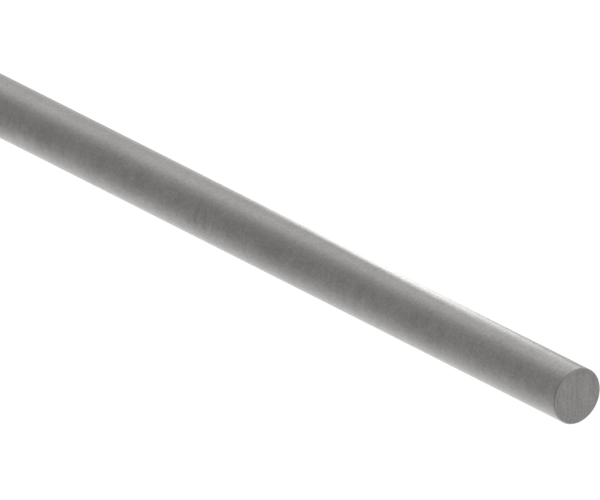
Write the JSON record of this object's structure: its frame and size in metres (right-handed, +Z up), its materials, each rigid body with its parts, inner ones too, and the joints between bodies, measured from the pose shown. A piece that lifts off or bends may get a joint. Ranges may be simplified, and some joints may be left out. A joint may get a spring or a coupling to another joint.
{
  "type": "round metal bar",
  "caption": "Solid round steel bar with a satin grey ground surface, sawn square and deburred at both ends; raw stock for shafts, pins, frames and welding.",
  "frame": {"origin": "middle of the bar's axis, halfway between the two sawn faces", "axes": "+X along the bar's axis, towards the end that the picture shows; +Z up from the floor that the bar lies on; Y across the bar"},
  "size_m": [0.9144, 0.0254, 0.0254],
  "materials": {
    "ground_steel": "satin, bare and unplated, with very fine ground lines round the bar and saw marks on the end faces"
  },
  "bodies": {
    "root": {"round_bar": "ground_steel"}
  },
  "joints": []
}
